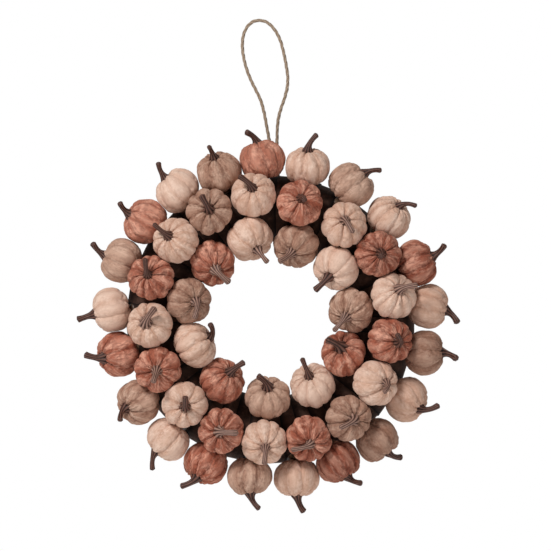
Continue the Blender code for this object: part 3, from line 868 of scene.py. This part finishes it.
def ribbon_section(ring):
    """The covered ring's outline, once round from the back's inner corner: its radius, its depth in front of
    the door, the two parts of its normal, and the length so far."""
    corner = pi - acos(ring.depth / ring.cover)
    arc = np.linspace(-corner, corner, ARC_COLUMNS, endpoint=False)
    out = ring.radius + ring.cover * np.sin(arc)
    deep = ring.depth + ring.cover * np.cos(arc)
    back = np.linspace(1, -1, BACK_COLUMNS, endpoint=False) * ring.cover * sin(corner)
    out = np.concatenate([out, ring.radius + back])
    deep = np.concatenate([deep, np.zeros(BACK_COLUMNS)])
    normal_out = np.concatenate([np.sin(arc), np.zeros(BACK_COLUMNS)])
    normal_deep = np.concatenate([np.cos(arc), -np.ones(BACK_COLUMNS)])
    steps = np.hypot(np.diff(out, append=out[0]), np.diff(deep, append=deep[0]))
    return out, deep, normal_out, normal_deep, np.concatenate([[0], np.cumsum(steps)])


def make_ribbon(ring, materials):
    """One long ribbon wound round and round the ring, each turn lapping the next."""
    rng = np.random.default_rng(7)
    out, deep, normal_out, normal_deep, run = ribbon_section(ring)
    columns = len(out)
    total = columns * RIBBON_TURNS
    step = np.arange(total)
    spot = step % columns
    clock = tau * step / total
    across = np.linspace(-1, 1, RIBBON_COLUMNS)
    radius, depth = out[spot][:, None], deep[spot][:, None]
    face_out, face_deep = normal_out[spot][:, None], normal_deep[spot][:, None]
    angle = clock[:, None] + across[None] * RIBBON_WIDTH / 2 / radius
    along = (step // columns) * run[-1] + run[spot]
    sunk = RIBBON_LIFT * (1 - across[None]) / 2
    sunk = sunk + RIBBON_FLAT * (1 - across[None] ** 2) * np.clip(face_out, 0, 1)
    phase = rng.uniform(0, tau, RIBBON_TURNS)[step // columns]
    ripple = np.sin(along[:, None] * 260 + 3 * across[None] + phase[:, None])
    sunk = sunk + RIBBON_RIPPLE * ripple * np.clip(0.4 - face_out, 0, 1)
    radius = radius - sunk * face_out
    depth = np.maximum(depth - sunk * face_deep, RIBBON_THICKNESS / 2)
    radial = ring.radial(angle)
    points = ring.centre + radial * radius[..., None] - np.array([0, 1, 0]) * depth[..., None]
    faces = []
    for i in range(total - 1):
        for j in range(RIBBON_COLUMNS - 1):
            low = i * RIBBON_COLUMNS + j
            faces.append((low, low + 1, low + RIBBON_COLUMNS + 1, low + RIBBON_COLUMNS))
    fields = {
        "along": np.repeat(along, RIBBON_COLUMNS),
        "across": np.tile(across * RIBBON_WIDTH / 2, total),
    }
    ribbon = add_piece("ribbon", points.reshape(-1, 3), faces, materials["ribbon"], fields)
    thickness = ribbon.modifiers.new("thickness", "SOLIDIFY")
    thickness.thickness = RIBBON_THICKNESS
    thickness.offset = 0
    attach(ribbon, "wreath")
    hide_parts("ribbon_wrap")


# ---- Hanger ----


def twisted(path, diameter, hairs, seed):
    """Points, faces and fields of a twisted twine along a path."""
    rng = np.random.default_rng(seed)
    _, sides, ups = along_path(path)
    run = np.concatenate([[0], np.cumsum(np.linalg.norm(np.diff(path, axis=0), axis=1))])
    strand = diameter / 2 * STRAND_SHARE
    orbit = diameter / 2 - strand
    round_strand = np.linspace(0, tau, STRAND_SIDES, endpoint=False)[None]
    points, faces, fields = [], [], {"along": [], "round": [], "fold_shade": []}
    count = 0
    for k in range(TWINE_STRANDS):
        turn = tau * (run / TWINE_PITCH + k / TWINE_STRANDS)
        out = np.cos(turn)[:, None] * sides + np.sin(turn)[:, None] * ups
        line = path + orbit * out
        ply = np.cos(PLIES * round_strand - 1.6 * turn[:, None])
        slub = 1 + 0.05 * np.sin(run * 330 + rng.uniform(0, tau))
        slub = slub + 0.03 * np.sin(run * 790 + rng.uniform(0, tau))
        radii = strand * slub[:, None] * (1 + PLY_DEPTH * ply)
        tube = tube_points(line, radii)
        ring = tube[:-2].reshape(len(path), STRAND_SIDES, 3)
        # painted shade: darkest where a strand turns in towards the twine's middle, and in its ply grooves
        inward = 1 - ((ring - path[:, None]) * out[:, None]).sum(axis=2) / (orbit + strand)
        fold_shade = np.clip(0.75 * inward + 0.25 * (1 - ply), 0, 1)
        points.append(tube)
        faces += grid_faces(len(path), STRAND_SIDES, count)
        fields["along"].append(np.append(np.repeat(run, STRAND_SIDES), (0, 0)))
        circle = np.tile(round_strand * strand, (len(path), 1)).ravel() + k
        fields["round"].append(np.append(circle, (0, 0)))
        fields["fold_shade"].append(np.append(fold_shade.ravel(), (1, 1)))
        count += len(tube)
    for _ in range(hairs):
        i = int(rng.integers(2, len(path) - 3))
        angle = rng.uniform(0, tau)
        out = cos(angle) * sides[i] + sin(angle) * ups[i]
        tangent = unit(path[i + 1] - path[i]) * rng.choice([-1, 1])
        start = path[i] + out * diameter * 0.42
        lean = rng.uniform(0.2, 0.8)
        length = rng.uniform(*HAIR_LENGTH)
        curl = rng.normal(size=3) * 0.15
        reach = np.linspace(0, 1, 5)[:, None]
        hair = start + length * (reach * unit(tangent + out * lean) + reach**2 * (curl + out * 0.1))
        radii = HAIR_RADIUS * (1 - 0.8 * reach) * np.ones((1, 3))
        tube = tube_points(hair, radii)
        points.append(tube)
        faces += grid_faces(5, 3, count)
        for field, value in (("along", run[i]), ("round", angle * MM), ("fold_shade", 0)):
            fields[field].append(np.full(len(tube), value))
        count += len(tube)
    return np.concatenate(points), faces, {name: np.concatenate(parts) for name, parts in fields.items()}


def make_loop(materials):
    path = smooth_route(np.array(LOOP_ROUTE) * MM, TWINE_STEP)
    points, faces, fields = twisted(path, TWINE_DIAMETER, TWINE_HAIRS, 11)
    loop = add_piece("twine_loop", points, faces, materials["twine"], fields)
    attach(loop, "hanger")
    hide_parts("hanger_loop")


def make_knot(materials):
    """The two strands' ends, the knot's wraps round them, and the eye round the pin's crown, as one piece."""
    low, high = (np.array(corner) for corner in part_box("hanger_knot"))
    hinge = frame["joints"][0]
    crown = np.array(hinge["pos_m"])
    ball = (high[0] - low[0]) / 2
    top = np.array([crown[0], crown[1], high[2]])
    orbit = ball - EYE_DIAMETER / 2
    t = np.linspace(0, 1, 90)
    turn = tau * KNOT_TURNS * t
    lift = KNOT_PITCH * KNOT_TURNS * (t - 1) - EYE_DIAMETER / 2
    wraps = top + np.stack([orbit * np.cos(turn), orbit * np.sin(turn), lift], axis=1)
    eye_radius = crown[2] - low[2] - EYE_DIAMETER / 2
    turn = np.linspace(0.08, 0.92, 70) * tau
    eye = crown + eye_radius * np.stack([0.12 * np.cos(turn / 2), np.sin(turn), np.cos(turn)], axis=1)
    runs = [(wraps, KNOT_HAIRS), (eye, EYE_HAIRS)]
    for end, side in ((LOOP_ROUTE[0], -1), (LOOP_ROUTE[-1], 1)):
        end = np.array(end) * MM
        inside = top + np.array([side * STRAND_INSET, 0, -EYE_DIAMETER])
        route = (end + (0, 0, STRAND_OVERLAP), end, inside, inside - (0, 0, EYE_DIAMETER))
        runs.append((smooth_route(route, TWINE_STEP / 2), 0))
    points, faces, fields = [], [], {"along": [], "round": [], "fold_shade": []}
    for number, (path, hairs) in enumerate(runs):
        first = sum(len(part) for part in points)
        part, part_faces, part_fields = twisted(path, EYE_DIAMETER, hairs, 20 + number)
        points.append(part)
        faces += [tuple(corner + first for corner in face) for face in part_faces]
        for name, values in part_fields.items():
            fields[name].append(values)
    joined = {name: np.concatenate(parts) for name, parts in fields.items()}
    knot = add_piece("twine_knot", np.concatenate(points), faces, materials["twine"], joined)
    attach(knot, "hanger")
    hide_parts("hanger_knot")


def make_pin(materials):
    """The hanger's pin: a wire bent twice on its way from one leg's end to the other's."""
    low, high = (np.array(corner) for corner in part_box("hanger_pin"))
    radius = (high[1] - low[1]) / 2
    middle = (low + high) / 2
    half, top = high[0] - radius - middle[0], high[2] - radius
    leg = np.linspace(low[2], top - PIN_BEND, PIN_LEG_POINTS, endpoint=False)
    left = np.stack([np.full_like(leg, -half), leg], axis=1)
    bend = np.linspace(0, pi / 2, PIN_BEND_POINTS)
    corner = np.stack([PIN_BEND * (1 - np.cos(bend)) - half, top - PIN_BEND * (1 - np.sin(bend))], axis=1)
    left = np.concatenate([left, corner])
    both = np.concatenate([left, left[::-1] * (-1, 1)])
    path = np.stack([middle[0] + both[:, 0], np.full(len(both), middle[1]), both[:, 1]], axis=1)
    points = tube_points(path, np.full((len(path), PIN_SIDES), radius))
    pin = add_piece("pin", points, grid_faces(len(path), PIN_SIDES), materials["pin_steel"])
    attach(pin, "wreath")
    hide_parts("hanger_pin")


# ---- Stage ----


def make_camera(ring):
    camera = bpy.data.objects.new("camera", bpy.data.cameras.new("camera"))
    bpy.context.scene.collection.objects.link(camera)
    camera.data.sensor_width = SENSOR_WIDTH
    camera.data.lens = SENSOR_WIDTH * CAMERA_DISTANCE / VIEW_WIDTH
    camera.data.clip_end = 50
    aside, height = ring.centre[0] + VIEW_ASIDE, ring.centre[2] + VIEW_RAISE
    camera.location = (aside, PUMPKIN_DEPTH - CAMERA_DISTANCE, height)
    camera.rotation_euler = (radians(90), 0, 0)
    bpy.context.scene.camera = camera


def add_light(name, place, target, size, power):
    data = bpy.data.lights.new(name, "AREA")
    data.shape = "DISK"
    data.size = size
    data.energy = power
    light = bpy.data.objects.new(name, data)
    light.location = place
    light.rotation_euler = (Vector(target) - Vector(place)).to_track_quat("-Z", "Y").to_euler()
    bpy.context.scene.collection.objects.link(light)


def make_stage(ring):
    """A pale floor under the hanging wreath, a white surround and soft light from above and in front."""
    world = bpy.data.worlds.new("surround")
    world.use_nodes = True
    tree = world.node_tree
    background = tree.nodes["Background"]
    background.inputs["Color"].default_value = (1, 1, 1, 1)
    # The surround looks white, and lights the wreath less than that.
    seen = tree.nodes.new("ShaderNodeLightPath").outputs["Is Camera Ray"]
    strength = tree.nodes.new("ShaderNodeMapRange")
    strength.inputs["To Min"].default_value = SURROUND_LIGHT
    tree.links.new(seen, strength.inputs["Value"])
    tree.links.new(strength.outputs["Result"], background.inputs["Strength"])
    bpy.context.scene.world = world
    bpy.context.scene.view_settings.view_transform = "Standard"
    middle = ring.centre
    add_light("key", (-1.1, -1.6, 1.3), middle, 0.7, KEY_POWER)
    add_light("fill", (1.5, -2.2, -0.2), middle, 1.2, FILL_POWER)
    add_light("back", (0.9, 2.0, 0.9), middle, 1.2, BACK_POWER)
    nodes = Nodes("floor")
    shade = nodes.ramp(nodes.noise(3, 2), 0.3, 0.7)
    paint = nodes.finish(
        base_color=nodes.mix(shade, (0.86, 0.86, 0.86), (0.84, 0.84, 0.84)),
        roughness=0.8,
        emission_color=(1, 1, 1),
        emission_strength=FLOOR_GLOW,
    )
    left, right, front, back = FLOOR_EDGES
    corners = [(left, front, FLOOR_HEIGHT), (right, front, FLOOR_HEIGHT)]
    corners += [(right, back, FLOOR_HEIGHT), (left, back, FLOOR_HEIGHT)]
    add_piece("floor", corners, [(0, 1, 2, 3)], paint, smooth=False)


def make_materials():
    materials = {name: velvet_material(name, make[0]) for name, make in MAKES.items()}
    # Each stem's first colour is its valleys' painted shade, its second its ridges' painted highlight
    materials["stem_dark"] = stem_material("stem_dark", (0.020, 0.0075, 0.005), (0.165, 0.073, 0.052))
    materials["stem_taupe"] = stem_material("stem_taupe", (0.045, 0.018, 0.013), (0.40, 0.235, 0.18))
    materials["ribbon"] = ribbon_material()
    materials["twine"] = twine_material()
    materials["glue"] = glue_material()
    materials["pin_steel"] = steel_material()
    return materials


def finish_node(node, material):
    """A CAD node that stays gets a better material."""
    piece = frame["nodes"][node]
    for slot in piece.material_slots:
        slot.material = material
    piece.data.shade_smooth()


def make_wreath():
    ring = Ring()
    make_camera(ring)
    materials = make_materials()
    make_loop(materials)
    make_knot(materials)
    finish_node("foam_ring", foam_material())
    make_pin(materials)
    make_ribbon(ring, materials)
    parts = {part["node"]: part["material_slot"] for part in frame["record"]["subparts"]}
    pumpkins = [Pumpkin(node, parts[node]) for node in sorted(parts) if "_pumpkin_" in node]
    make_bodies(pumpkins, ring, materials)
    for pumpkin in pumpkins:
        make_stem(pumpkin, materials)
    for row in ("outer", "middle", "inner"):
        make_glue(row, [pumpkin for pumpkin in pumpkins if pumpkin.row == row], ring, materials)
    make_stage(ring)


make_wreath()
